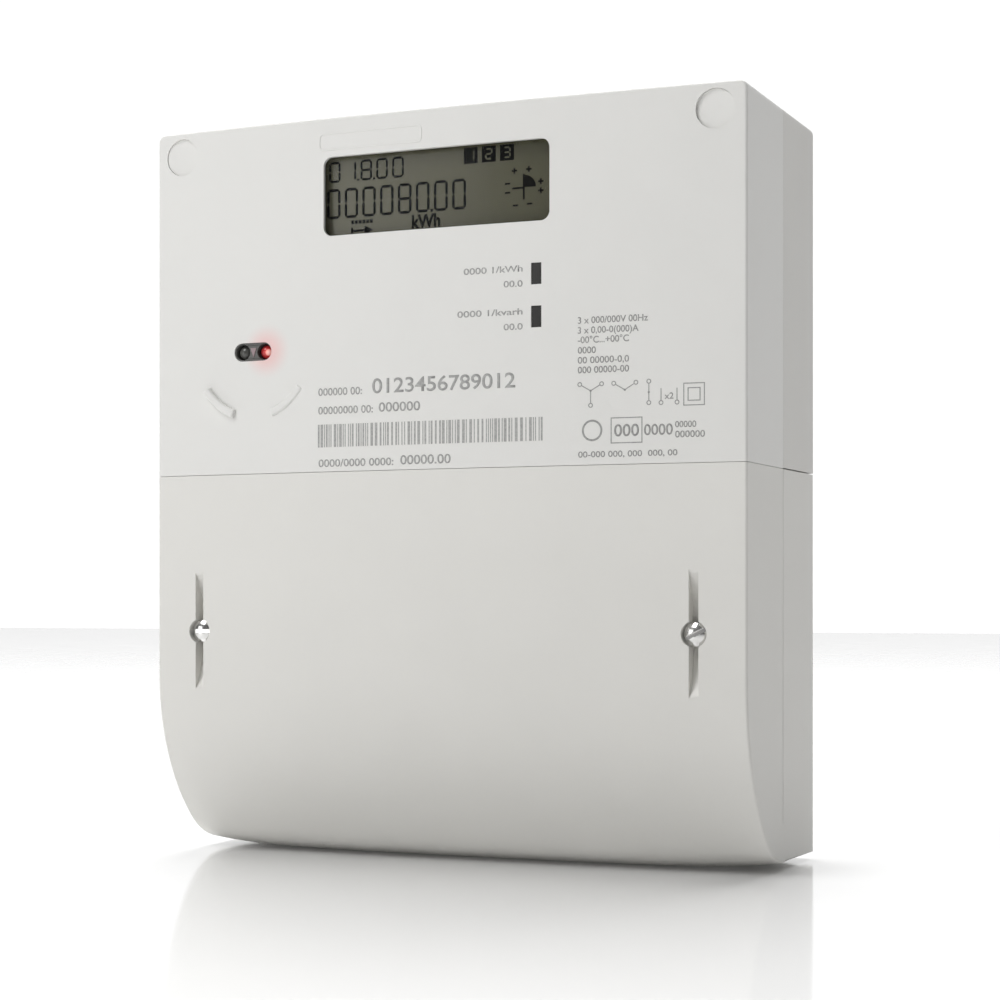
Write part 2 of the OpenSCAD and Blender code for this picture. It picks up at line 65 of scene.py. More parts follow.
MM = 0.001
WALL_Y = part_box("base_case")[1].y
HALF_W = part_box("terminal_cover")[1].x / MM
TOP_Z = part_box("front_cover")[1].z / MM
SEAM_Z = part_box("terminal_cover")[1].z / MM
UPPER_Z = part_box("front_cover")[0].z / MM
COVER_D = (WALL_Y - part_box("front_cover")[1].y) / MM
FRONT_D = (WALL_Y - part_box("terminal_cover")[0].y) / MM
SLOT_GAP = UPPER_Z - SEAM_Z
REAR_D = COVER_D - SLOT_GAP
CROWN = 2.6
WALL = 2.2
EDGE_R = 0.7
CORNER_R = 2
COLUMNS = 24
SEAM_LINE = 0.12      # what shows of the gaps at the seam and at the parting line
TOE_CROWN = 2.0       # how far the moulded underside bulges down at its middle

DISPLAY = (0.6, 174.1)
DISPLAY_SIZE = (64.4, 20.8)
DISPLAY_CORNER = 2.4
GLASS_D = (WALL_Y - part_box("display_glass")[0].y) / MM
PORT = (-53.4, 134.3)
PORT_PITCH = 6.5
PILL = (11.6, 4.9)
PORT_FRONT_D = (WALL_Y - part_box("optical_emitter")[0].y) / MM
PORT_ROOT_D = PORT_FRONT_D - 7
OPTO_R = 1.9
RIB_R = 17.4
RIB_W = 2.4
RIB_H = 0.8
RIB_ARC = (34, 71)
RIB_ROUND = 0.7
RIB_ROOT = 1.5        # how far a rib reaches into the cover's wall
PULSE = (29.2, 150.4)
PULSE_PITCH = 10.9
PULSE_SIZE = (2.8, 5.5)
PLUG = (76, 188.4)
PLUG_R = 5
PLUG_RECESS = 0.6
PLUG_T = 2.4
BOSS_R = 6            # screw tunnels behind the corner plugs
TUNNEL_D = 36
CASE_SEAT_D = 40
CASE_HEAD_HOLE_R = 3.7
CASE_SHANK_HOLE_R = 1.7
COLLAR = 1.5          # wall round the optical port
FIT_GAP = 0.15        # room round the display window in its pocket
CUT_D = 50            # depth at which the cutters of the front's openings start

SCREW = (70.5, 59.3)
HEAD_R = 3.05
HEAD_T = 2.2
SEAT_D = (WALL_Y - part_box("cover_screw_left")[0].y) / MM - HEAD_T
WINDOW_D = (WALL_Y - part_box("display_window")[0].y) / MM
WINDOW_T = 1.6
GROOVE_W = 2.5
GROOVE_LEN = 32
GROOVE_DEPTH = 4.5
SWEEP_R = 57.5
SWEEP_Z = 47.4
SWEEP_A = 45

STRIP_HALF_W = 4.4    # thickened strips behind the grooves
BOSS_D = 53
SCREW_HOLE_R = 2.5
HEAD_GAP = 0.25       # room round a cover screw's head
ENTRY_HALF_W = 66     # opening in the underside for the cables
ENTRY_D = 24
PANEL_D = 2.8         # room for the rear case's panel
LINE_DEPTH = 0.12     # the parting line's shallow groove in the terminal cover
LINE_FOOT_Z = 10
SOFT_EDGE = 0.22      # radius on the covers' remaining edges
MERGE_GAP = MM * 1e-3


def at(x, d, z):
    """Place in the frame of a point given in millimetres."""
    return Vector((x * MM, WALL_Y - d * MM, z * MM))


def face_d(x):
    """How far out from the wall the crowned front lies, at a distance x from the middle."""
    return FRONT_D - CROWN * (x / HALF_W) ** 2


# ---- modelling by hand ----

def deselect():
    bpy.ops.object.select_all(action="DESELECT")


def make_active(obj):
    deselect()
    obj.select_set(True)
    bpy.context.view_layer.objects.active = obj
    return obj


def settle(name="cutter"):
    """Leaves edit mode, puts the object's place into its mesh and names it."""
    obj = bpy.context.object
    if obj.mode != "OBJECT":
        bpy.ops.object.mode_set(mode="OBJECT")
    bpy.ops.object.transform_apply(location=True, rotation=True, scale=True)
    obj.name = obj.data.name = name
    return obj


def pick(kind, test):
    """In edit mode, selects the vertices, edges or faces that pass a test."""
    bpy.ops.mesh.select_mode(type=kind)
    bpy.ops.mesh.select_all(action="DESELECT")
    data = bpy.context.object.data
    mesh = bmesh.from_edit_mesh(data)
    for item in {"VERT": mesh.verts, "EDGE": mesh.edges, "FACE": mesh.faces}[kind]:
        if test(item):
            item.select_set(True)
    mesh.select_flush_mode()
    bmesh.update_edit_mesh(data)


def depth_of(vert):
    """How far out from the wall a vertex lies."""
    return (WALL_Y - vert.co.y) / MM


def draw_outline(points):
    """Starts a mesh in edit mode as one face, drawn vertex by vertex through the points."""
    deselect()
    bpy.ops.mesh.primitive_plane_add(size=MM, location=(0, 0, 0))
    bpy.ops.object.mode_set(mode="EDIT")
    bpy.ops.mesh.select_mode(type="VERT")
    bpy.ops.mesh.select_all(action="SELECT")
    bpy.ops.mesh.merge(type="CENTER")
    bpy.ops.transform.translate(value=points[0])
    for start, end in zip(points, points[1:] + points[:1]):
        bpy.ops.mesh.extrude_region_move(TRANSFORM_OT_translate={"value": end - start})
    bpy.ops.mesh.select_all(action="SELECT")
    bpy.ops.mesh.remove_doubles(threshold=MERGE_GAP)
    bpy.ops.mesh.edge_face_add()


def turn_outwards():
    """In edit mode, points every face out of the solid."""
    bpy.ops.mesh.select_all(action="SELECT")
    bpy.ops.mesh.normals_make_consistent(inside=False)


def box_tool(x0, x1, d0, d1, z0, z1, corner=0):
    """Box, whose four edges that point at the reader may be rounded."""
    deselect()
    size = ((x1 - x0) * MM, (d1 - d0) * MM, (z1 - z0) * MM)
    bpy.ops.mesh.primitive_cube_add(
        size=1, location=at((x0 + x1) / 2, (d0 + d1) / 2, (z0 + z1) / 2), scale=size)
    obj = settle()
    if corner:
        bpy.ops.object.mode_set(mode="EDIT")
        pick("EDGE", lambda e: abs(e.verts[0].co.y - e.verts[1].co.y) > size[1] / 2)
        bpy.ops.mesh.bevel(offset=corner * MM, segments=8, affect="EDGES", clamp_overlap=False)
        bpy.ops.object.mode_set(mode="OBJECT")
    return obj


def rod_tool(x, z, d0, d1, r, sides=64):
    """Round bar that points at the reader."""
    deselect()
    bpy.ops.mesh.primitive_cylinder_add(
        vertices=sides, radius=r * MM, depth=(d1 - d0) * MM,
        location=at(x, (d0 + d1) / 2, z), rotation=(math.pi / 2, 0, 0))
    return settle()


def disc_tool(x, d, z, r, width, sides=160):
    """Upright disc that faces sideways."""
    deselect()
    bpy.ops.mesh.primitive_cylinder_add(
        vertices=sides, radius=r * MM, depth=width * MM,
        location=at(x, d, z), rotation=(0, math.pi / 2, 0))
    return settle()


def combine(obj, tool, operation="DIFFERENCE"):
    """Cuts a tool out of a piece, or adds it, and removes the tool."""
    make_active(obj)
    bpy.ops.object.modifier_add(type="BOOLEAN")
    modifier = obj.modifiers[-1]
    modifier.operation = operation
    modifier.object = tool
    modifier.solver = "EXACT"
    bpy.ops.object.modifier_apply(modifier=modifier.name)
    bpy.data.objects.remove(tool)
    return obj


def join(objs, name):
    """Joins objects into one and names it."""
    deselect()
    for obj in objs:
        obj.select_set(True)
    bpy.context.view_layer.objects.active = objs[0]
    if len(objs) > 1:
        bpy.ops.object.join()
    objs[0].name = objs[0].data.name = name
    return objs[0]


def smooth(obj, angle=50):
    """Smooth shading that keeps large flat faces flat."""
    make_active(obj)
    bpy.ops.object.shade_smooth_by_angle(angle=math.radians(angle))
    bpy.ops.object.modifier_add(type="WEIGHTED_NORMAL")
    obj.modifiers[-1].keep_sharp = True
    bpy.ops.object.modifier_apply(modifier=obj.modifiers[-1].name)
    return obj


def soften(obj, width, segments=3, limit=40):
    """Rounds every sharp edge by a small radius, in millimetres, and shades the piece."""
    make_active(obj)
    bpy.ops.object.modifier_add(type="BEVEL")
    modifier = obj.modifiers[-1]
    modifier.width = width * MM
    modifier.segments = segments
    modifier.limit_method = "ANGLE"
    modifier.angle_limit = math.radians(limit)
    modifier.use_clamp_overlap = True
    bpy.ops.object.modifier_apply(modifier=modifier.name)
    return smooth(obj)


# ---- materials ----

def start_material(name, roughness, metallic=0.0):
    material = bpy.data.materials.new(name)
    material.use_nodes = True
    shader = material.node_tree.nodes["Principled BSDF"]
    shader.inputs["Roughness"].default_value = roughness
    shader.inputs["Metallic"].default_value = metallic
    return material, material.node_tree, shader


def place_node(tree, scale=(1, 1, 1)):
    """Object coordinates, stretched if asked."""
    coordinates = tree.nodes.new("ShaderNodeTexCoord")
    mapping = tree.nodes.new("ShaderNodeMapping")
    mapping.inputs["Scale"].default_value = scale
    tree.links.new(coordinates.outputs["Object"], mapping.inputs["Vector"])
    return mapping.outputs["Vector"]


def noise_node(tree, place, scale, detail=2.0, rough=0.5):
    node = tree.nodes.new("ShaderNodeTexNoise")
    node.inputs["Scale"].default_value = scale
    node.inputs["Detail"].default_value = detail
    node.inputs["Roughness"].default_value = rough
    tree.links.new(place, node.inputs["Vector"])
    return node.outputs["Fac"]


def ramp_node(tree, value, stops):
    node = tree.nodes.new("ShaderNodeValToRGB")
    ramp = node.color_ramp
    while len(ramp.elements) < len(stops):
        ramp.elements.new(0.5)
    for element, (position, colour) in zip(ramp.elements, stops):
        element.position = position
        element.color = (*colour, 1)
    tree.links.new(value, node.inputs["Fac"])
    return node.outputs["Color"]


def bump_node(tree, shader, height, distance, strength=1.0):
    node = tree.nodes.new("ShaderNodeBump")
    node.inputs["Strength"].default_value = strength
    node.inputs["Distance"].default_value = distance
    tree.links.new(height, node.inputs["Height"])
    tree.links.new(node.outputs["Normal"], shader.inputs["Normal"])


def rough_spread(tree, shader, value, low, high):
    node = tree.nodes.new("ShaderNodeMapRange")
    node.inputs["To Min"].default_value = low
    node.inputs["To Max"].default_value = high
    tree.links.new(value, node.inputs["Value"])
    tree.links.new(node.outputs["Result"], shader.inputs["Roughness"])


def scaled(colour, factor):
    return tuple(min(1.0, c * factor) for c in colour)


def moulded(name, colour, roughness=0.45, grain=0.00003, cloud=0.03, metallic=0.0):
    """Moulded plastic: faintly cloudy colour, a fine grain and slightly uneven gloss."""
    material, tree, shader = start_material(name, roughness, metallic)
    place = place_node(tree)
    clouds = noise_node(tree, place, 35, 3)
    stops = [(0.3, scaled(colour, 1 - cloud)), (0.7, scaled(colour, 1 + cloud))]
    tree.links.new(ramp_node(tree, clouds, stops), shader.inputs["Base Color"])
    fine = noise_node(tree, place, 2600, 2)
    rough_spread(tree, shader, clouds, roughness - 0.05, roughness + 0.05)
    bump_node(tree, shader, fine, grain)
    return material


def front_plastic_with_painted_glow():
    """The front cover's plastic, with a faint red glow from the lit emitter painted into its colour round
    the port.
    """
    material = moulded("front_cover_plastic", (0.79, 0.785, 0.76), 0.38, 0.000015, 0.008)
    tree = material.node_tree
    shader = tree.nodes["Principled BSDF"]
    base = shader.inputs["Base Color"].links[0].from_socket
    distance = tree.nodes.new("ShaderNodeVectorMath")
    distance.operation = "DISTANCE"
    distance.inputs[1].default_value = at(PORT[0] + PORT_PITCH / 2 + 1, face_d(PORT[0]), PORT[1])
    tree.links.new(place_node(tree), distance.inputs[0])
    near = tree.nodes.new("ShaderNodeMapRange")
    near.interpolation_type = "SMOOTHSTEP"
    near.inputs["From Min"].default_value = 1 * MM
    near.inputs["From Max"].default_value = 8 * MM
    near.inputs["To Min"].default_value = 0.6
    near.inputs["To Max"].default_value = 0
    tree.links.new(distance.outputs["Value"], near.inputs["Value"])
    # painted light: near the emitter the base colour is mixed towards red, standing in for the emitter's
    # glow on the plastic
    mix = tree.nodes.new("ShaderNodeMix")
    mix.data_type = "RGBA"
    mix.inputs["B"].default_value = (0.9, 0.45, 0.44, 1)
    tree.links.new(near.outputs["Result"], mix.inputs["Factor"])
    tree.links.new(base, mix.inputs["A"])
    tree.links.new(mix.outputs["Result"], shader.inputs["Base Color"])
    return material


def metal(name, colour, roughness, scratch=(40, 900, 900), depth=0.00001):
    """Metal with fine marks along one direction and uneven gloss."""
    material, tree, shader = start_material(name, roughness, 1.0)
    marks = noise_node(tree, place_node(tree, scratch), 1.5, 4)
    stops = [(0.35, scaled(colour, 0.86)), (0.65, colour)]
    tree.links.new(ramp_node(tree, marks, stops), shader.inputs["Base Color"])
    rough_spread(tree, shader, marks, max(0.02, roughness - 0.08), roughness + 0.1)
    bump_node(tree, shader, marks, depth, 0.5)
    return material


def board_green():
    """Green laminate: darker copper tracks, in two directions, under the solder mask."""
    material, tree, shader = start_material("board_laminate", 0.35)
    shader.inputs["Coat Weight"].default_value = 0.3
    place = place_node(tree)
    tracks = []
    for axis, period in (("X", 170), ("Z", 230)):
        wave = tree.nodes.new("ShaderNodeTexWave")
        wave.bands_direction = axis
        wave.wave_profile = "TRI"
        wave.inputs["Scale"].default_value = period
        wave.inputs["Distortion"].default_value = 1.5
        wave.inputs["Detail"].default_value = 0
        wave.inputs["Detail Scale"].default_value = 0.4
        tree.links.new(place, wave.inputs["Vector"])
        tracks.append(wave.outputs["Fac"])
    area = noise_node(tree, place, 60, 0)
    choose = tree.nodes.new("ShaderNodeMath")
    choose.operation = "GREATER_THAN"
    choose.inputs[1].default_value = 0.5
    tree.links.new(area, choose.inputs[0])
    mix = tree.nodes.new("ShaderNodeMix")
    tree.links.new(choose.outputs["Value"], mix.inputs["Factor"])
    tree.links.new(tracks[0], mix.inputs["A"])
    tree.links.new(tracks[1], mix.inputs["B"])
    stops = [(0.0, (0.012, 0.085, 0.035)), (0.62, (0.014, 0.095, 0.04)),
             (0.68, (0.03, 0.19, 0.08)), (1.0, (0.035, 0.2, 0.085))]
    tree.links.new(ramp_node(tree, mix.outputs["Result"], stops), shader.inputs["Base Color"])
    bump_node(tree, shader, mix.outputs["Result"], 0.00003, 0.4)
    return material


def display_olive_with_painted_light():
    """Reflective display: olive under polished glass, with painted light: lighter at the left, darker
    towards the right.
    """
    material, tree, shader = start_material("display_face", 0.22)
    coordinates = tree.nodes.new("ShaderNodeTexCoord")
    split = tree.nodes.new("ShaderNodeSeparateXYZ")
    tree.links.new(coordinates.outputs["Object"], split.inputs["Vector"])
    span = tree.nodes.new("ShaderNodeMapRange")
    span.inputs["From Min"].default_value = (DISPLAY[0] - DISPLAY_SIZE[0] / 2) * MM
    span.inputs["From Max"].default_value = (DISPLAY[0] + DISPLAY_SIZE[0] / 2) * MM
    tree.links.new(split.outputs["X"], span.inputs["Value"])
    # painted light: the olive is lighter at the display's left edge and darker at its right, standing in
    # for how light falls on it
    stops = [(0.0, (0.125, 0.122, 0.08)), (1.0, (0.085, 0.083, 0.048))]
    colour = ramp_node(tree, span.outputs["Result"], stops)
    tree.links.new(colour, shader.inputs["Base Color"])
    cloudy = noise_node(tree, coordinates.outputs["Object"], 90, 1)
    rough_spread(tree, shader, cloudy, 0.18, 0.24)
    return material


def clear_plastic():
    """Clear window, almost without colour and faintly uneven in its gloss."""
    material, tree, shader = start_material("clear_window", 0.06)
    shader.inputs["Base Color"].default_value = (0.02, 0.02, 0.018, 1)
    shader.inputs["Alpha"].default_value = 0.06
    waves = noise_node(tree, place_node(tree), 60, 1)
    rough_spread(tree, shader, waves, 0.04, 0.09)
    return material


def lit_red():
    """Red emitter: dark red at its foot, a hot pale spot at its tip."""
    material, tree, shader = start_material("red_emitter", 0.2)
    distance = tree.nodes.new("ShaderNodeVectorMath")
    distance.operation = "DISTANCE"
    distance.inputs[1].default_value = at(
        PORT[0] + PORT_PITCH / 2 + 1, PORT_FRONT_D - 0.5, PORT[1] - 0.2)
    tree.links.new(place_node(tree), distance.inputs[0])
    near = tree.nodes.new("ShaderNodeMapRange")
    near.inputs["From Max"].default_value = 2.4 * MM
    tree.links.new(distance.outputs["Value"], near.inputs["Value"])
    stops = [(0.0, (1.0, 0.7, 0.66)), (0.28, (1.0, 0.42, 0.36)),
             (0.42, (0.5, 0.03, 0.03)), (1.0, (0.1, 0.006, 0.008))]
    colour = ramp_node(tree, near.outputs["Result"], stops)
    tree.links.new(colour, shader.inputs["Base Color"])
    tree.links.new(colour, shader.inputs["Emission Color"])
    shader.inputs["Emission Strength"].default_value = 0.3
    return material


def ink_grey(name, colour):
    """Printed ink or a display segment, with a faint grain."""
    material, tree, shader = start_material(name, 0.5)
    grain = noise_node(tree, place_node(tree), 1800, 3)
    stops = [(0.3, scaled(colour, 0.85)), (0.75, scaled(colour, 1.2))]
    tree.links.new(ramp_node(tree, grain, stops), shader.inputs["Base Color"])
    return material


FINISHES = {
    "rear_case_plastic": moulded("rear_case_plastic", (0.74, 0.73, 0.7), 0.45, 0.00003, 0.01),
    "front_cover_plastic": front_plastic_with_painted_glow(),
    "terminal_cover_plastic": moulded("terminal_cover_plastic", (0.775, 0.765, 0.73), 0.42, 0.00002, 0.01),
    "seal_rubber": moulded("seal_rubber", (0.03, 0.03, 0.03), 0.7, 0.00005, 0.1),
    "terminal_block_plastic": moulded("terminal_block_plastic", (0.035, 0.037, 0.041), 0.5, 0.00006, 0.1),
    "terminal_brass": metal("terminal_brass", (0.78, 0.58, 0.27), 0.32),
    "zinc_steel": metal("zinc_steel", (0.62, 0.63, 0.64), 0.34, (300, 300, 300)),
    "busbar_copper": metal("busbar_copper", (0.82, 0.42, 0.24), 0.3, (900, 900, 40)),
    "transformer_resin": moulded("transformer_resin", (0.02, 0.06, 0.15), 0.25, 0.00004, 0.1),
    "aux_block_plastic": moulded("aux_block_plastic", (0.1, 0.11, 0.115), 0.45, 0.00004, 0.06),
    "board_laminate": board_green(),
    "holder_plastic": moulded("holder_plastic", (0.75, 0.74, 0.71), 0.5, 0.00003, 0.02),
    "display_face": display_olive_with_painted_light(),
    "supply_core": moulded("supply_core", (0.62, 0.44, 0.05), 0.4, 0.00008, 0.12),
    "capacitor_sleeve": moulded("capacitor_sleeve", (0.02, 0.025, 0.04), 0.28, 0.00001, 0.15),
    "varistor_coating": moulded("varistor_coating", (0.015, 0.08, 0.33), 0.3, 0.00008, 0.12),
    "battery_sleeve": moulded("battery_sleeve", (0.17, 0.21, 0.08), 0.3, 0.00002, 0.08),
    "chip_resin": moulded("chip_resin", (0.018, 0.018, 0.02), 0.5, 0.00005, 0.1),
    "clear_led": moulded("clear_led", (0.7, 0.68, 0.66), 0.12, 0.00001, 0.04),
    "dark_opto": moulded("dark_opto", (0.09, 0.09, 0.083), 0.2, 0.00001, 0.1),
    "red_emitter": lit_red(),
    "clear_window": clear_plastic(),
    "smoked_window": moulded("smoked_window", (0.035, 0.034, 0.033), 0.16, 0.00001, 0.08),
    "screw_nickel": metal("screw_nickel", (0.74, 0.735, 0.72), 0.16, (60, 60, 60), 0.000004),
    "nylon": moulded("nylon", (0.72, 0.71, 0.66), 0.4, 0.00003, 0.03),
}
PRINT_GREY = ink_grey("print_grey", (0.4, 0.4, 0.39))
PRINT_DARK = ink_grey("print_dark", (0.34, 0.34, 0.33))
SEGMENT_BLACK = ink_grey("segment_black", (0.008, 0.008, 0.007))
SEGMENT_BLACK.node_tree.nodes["Principled BSDF"].inputs["Specular IOR Level"].default_value = 0.05
DIVIDER_PINK = moulded("divider_grey", (0.3, 0.22, 0.23), 0.3, 0.00002, 0.08)


def finish_piece(obj, body, slot=None, replaces=(), material=None):
    """Gives a new piece its material, from its slot unless one is given, puts it on its body and hides the
    nodes it stands for.
    """
    obj.data.materials.clear()
    obj.data.materials.append(material or FINISHES[slot])
    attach(obj, body)
    if replaces:
        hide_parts(*replaces)
    return obj


# ---- the two front covers ----

def arc(centre_d, centre_z, r, start, end, steps):
    """Points on a circular stretch of a side outline, as (d, z)."""
    points = []
    for i in range(steps + 1):
        angle = math.radians(start + (end - start) * i / steps)
        points.append((centre_d + r * math.cos(angle), centre_z + r * math.sin(angle)))
    return points


def upper_outline(inset):
    """Side outline of the front cover; an inset outline runs out through the open back."""
    back = COVER_D - 1 if inset else REAR_D + SEAM_LINE
    low = UPPER_Z + inset if inset else SEAM_Z + SEAM_LINE
    high = TOP_Z - inset
    return [(back, low), (FRONT_D - inset, low), (FRONT_D - inset, high), (back, high)]


def lower_outline(inset):
    """Side outline of the terminal cover: upright front, large curve, small curve, flat underside."""
    angle = math.radians(SWEEP_A)
    toe_r = (SWEEP_Z - SWEEP_R * math.sin(angle)) / (1 - math.sin(angle))
    flat_d = FRONT_D - SWEEP_R * (1 - math.cos(angle)) - toe_r * math.cos(angle)
    back = -1 if inset else 0.2
    top = SEAM_Z - inset
    front = [(back, top), (FRONT_D - inset, top)]
    large = arc(FRONT_D - SWEEP_R, SWEEP_Z, SWEEP_R - inset, 0, -SWEEP_A, 22)
    small = arc(flat_d, toe_r, toe_r - inset, -SWEEP_A, -90, 14)
    return front + large + small[1:] + [(back, inset)]


def crowned_block(outline, half):
    """Solid with a side outline, drawn across in columns, whose front is then crowned."""
    draw_outline([at(-half, d, z) for d, z in outline])
    step = 2 * half / COLUMNS
    for _ in range(COLUMNS):
        bpy.ops.mesh.extrude_region_move(TRANSFORM_OT_translate={"value": (step * MM, 0, 0)})
    for i in range(COLUMNS + 1):
        x = -half + i * step
        pick("VERT", lambda v: abs(v.co.x - x * MM) < step * MM / 4 and depth_of(v) > COVER_D + 0.2)
        bpy.ops.transform.translate(value=(0, CROWN * (x / HALF_W) ** 2 * MM, 0))
    turn_outwards()


def crown_toe(half):
    """Bulges the underside down: each column is stretched from where the large curve begins."""
    step = 2 * half / COLUMNS
    for i in range(COLUMNS + 1):
        x = -half + i * step
        drop = TOE_CROWN * (1 - (x / HALF_W) ** 6)
        pick("VERT", lambda v: abs(v.co.x - x * MM) < step * MM / 4 and v.co.z < (SWEEP_Z - 0.1) * MM)
        bpy.ops.transform.resize(value=(1, 1, 1 + drop / SWEEP_Z), center_override=(0, 0, SWEEP_Z * MM))


def edge_angle(edge):
    """Angle between an edge's two faces."""
    return edge.calc_face_angle(0) if len(edge.link_faces) == 2 else 0


def bevel_picked(radius, segments):
    bpy.ops.mesh.bevel(offset=radius * MM, segments=segments, affect="EDGES", clamp_overlap=False)


def locating_rib(side):
    """One curved rib: a rounded profile spun round the middle of the optical port."""
    d = face_d(PORT[0])
    start, end = (math.radians(-90 + side * (90 - angle)) for angle in RIB_ARC)
    half = RIB_W / 2
    shoulder = arc(half - RIB_ROUND, RIB_H - RIB_ROUND, RIB_ROUND, 0, 90, 5)
    far_side = [(-across, out) for across, out in reversed(shoulder)]
    profile = [(half, -RIB_ROOT)] + shoulder + far_side + [(-half, -RIB_ROOT)]
    points = []
    for across, out in profile:
        r = RIB_R + across
        points.append(at(PORT[0] + r * math.cos(start), d + out, PORT[1] + r * math.sin(start)))
    draw_outline(points)
    bpy.ops.mesh.select_all(action="SELECT")
    bpy.ops.mesh.spin(steps=20, angle=end - start, center=at(PORT[0], d, PORT[1]), axis=(0, 1, 0))
    bpy.ops.mesh.select_all(action="SELECT")
    bpy.ops.mesh.remove_doubles(threshold=MERGE_GAP)
    turn_outwards()
    pick("EDGE", lambda e: edge_angle(e) > 1.3 and all(depth_of(v) > d - 1 for v in e.verts))
    bevel_picked(0.5, 4)
    return settle("rib")


def front_cover():
    """Upper front shell with its openings, corner recesses, screw tunnels and locating ribs."""
    crowned_block(upper_outline(0), HALF_W)
    side = HALF_W * MM * 0.999
    pick("EDGE", lambda e: all(abs(v.co.x) > side and v.co.z > (TOP_Z - 0.1) * MM for v in e.verts))
    bevel_picked(CORNER_R, 6)
    front = (FRONT_D - CROWN - 0.2)
    pick("EDGE", lambda e: edge_angle(e) > 1 and all(depth_of(v) > front for v in e.verts)
         and max(v.co.z for v in e.verts) > (UPPER_Z + 1) * MM)
    bevel_picked(EDGE_R, 5)
    cover = settle("front_cover_shell")

    crowned_block(upper_outline(WALL), HALF_W - WALL)
    hollow = settle()
    combine(hollow, box_tool(
        PORT[0] - PILL[0] / 2 - COLLAR, PORT[0] + PILL[0] / 2 + COLLAR, PORT_ROOT_D + 1, FRONT_D + 1,
        PORT[1] - PILL[1] / 2 - COLLAR, PORT[1] + PILL[1] / 2 + COLLAR, 2))
    for side in (-1, 1):
        combine(hollow, rod_tool(side * PLUG[0], PLUG[1], TUNNEL_D, FRONT_D + 1, BOSS_R))
    combine(cover, hollow)
    for side in (-1, 1):
        combine(cover, locating_rib(side), "UNION")

    w, h = DISPLAY_SIZE
    combine(cover, box_tool(DISPLAY[0] - w / 2, DISPLAY[0] + w / 2, CUT_D, FRONT_D + 2,
                            DISPLAY[1] - h / 2, DISPLAY[1] + h / 2, DISPLAY_CORNER))
    low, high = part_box("display_window")
    combine(cover, box_tool(low.x / MM - FIT_GAP, high.x / MM + FIT_GAP,
                            WINDOW_D - 2 * WINDOW_T, WINDOW_D,
                            low.z / MM - FIT_GAP, high.z / MM + FIT_GAP))
    w, h = PULSE_SIZE
    for i in range(2):
        z = PULSE[1] - i * PULSE_PITCH
        combine(cover, box_tool(PULSE[0] - w / 2, PULSE[0] + w / 2, CUT_D, FRONT_D + 2,
                                z - h / 2, z + h / 2))
    w, h = PILL
    combine(cover, box_tool(PORT[0] - w / 2, PORT[0] + w / 2, CUT_D, FRONT_D + 2,
                            PORT[1] - h / 2, PORT[1] + h / 2, h / 2 - 0.01))
    for side in (-1, 1):
        x = side * PLUG[0]
        combine(cover, rod_tool(x, PLUG[1], face_d(x) - PLUG_RECESS - PLUG_T, FRONT_D + 2, PLUG_R))
        combine(cover, rod_tool(x, PLUG[1], CASE_SEAT_D, FRONT_D, CASE_HEAD_HOLE_R))
        combine(cover, rod_tool(x, PLUG[1], TUNNEL_D - 1, FRONT_D, CASE_SHANK_HOLE_R))
    soften(cover, SOFT_EDGE)
    finish_piece(cover, "front_cover", "front_cover_plastic", ["front_cover"])


def terminal_cover():
    """Lower front shell, curved under, with two scooped grooves for its captive screws."""
    crowned_block(lower_outline(0), HALF_W)
    crown_toe(HALF_W)
    side = HALF_W * MM * 0.999
    pick("EDGE", lambda e: edge_angle(e) > 1 and all(
        abs(v.co.x) > side and depth_of(v) > 10 for v in e.verts)
        and min(v.co.z for v in e.verts) < (SEAM_Z - 1) * MM)
    bevel_picked(EDGE_R, 5)
    cover = settle("terminal_cover_shell")

    crowned_block(lower_outline(WALL), HALF_W - WALL)
    crown_toe(HALF_W - WALL)
    hollow = settle()
    half_strip = GROOVE_LEN / 2 + 3
    for side in (-1, 1):
        combine(hollow, box_tool(side * SCREW[0] - STRIP_HALF_W, side * SCREW[0] + STRIP_HALF_W,
                                 BOSS_D, FRONT_D, SCREW[1] - half_strip, SCREW[1] + half_strip))
    combine(cover, hollow)
    inside = HALF_W - WALL
    combine(cover, box_tool(-inside, inside, -1, FRONT_D - 2 * WALL, SEAM_Z - WALL - 1, SEAM_Z + 1))
    below = -TOE_CROWN - 1
    combine(cover, box_tool(-ENTRY_HALF_W, ENTRY_HALF_W, -1, ENTRY_D, below, WALL + 2))
    combine(cover, box_tool(-inside, inside, -1, PANEL_D, below, WALL + 1))
    scoop_r = ((GROOVE_LEN / 2) ** 2 + GROOVE_DEPTH ** 2) / (2 * GROOVE_DEPTH)
    for side in (-1, 1):
        x = side * SCREW[0]
        combine(cover, disc_tool(x, face_d(x) - GROOVE_DEPTH + scoop_r, SCREW[1], scoop_r, GROOVE_W))
        combine(cover, rod_tool(x, SCREW[1], SEAT_D, FRONT_D + 1, HEAD_R + HEAD_GAP))
        combine(cover, rod_tool(x, SCREW[1], BOSS_D - 1, FRONT_D + 1, SCREW_HOLE_R))
    soften(cover, SOFT_EDGE)
    # the shallow line that carries the parting line on down both sides
    for side in (-1, 1):
        edge = side * HALF_W
        combine(cover, box_tool(edge - LINE_DEPTH, edge + LINE_DEPTH, REAR_D, COVER_D,
                                LINE_FOOT_Z, SEAM_Z + 1))
    smooth(cover)
    finish_piece(cover, "terminal_cover", "terminal_cover_plastic", ["terminal_cover"])


# ---- camera, light and floor ----

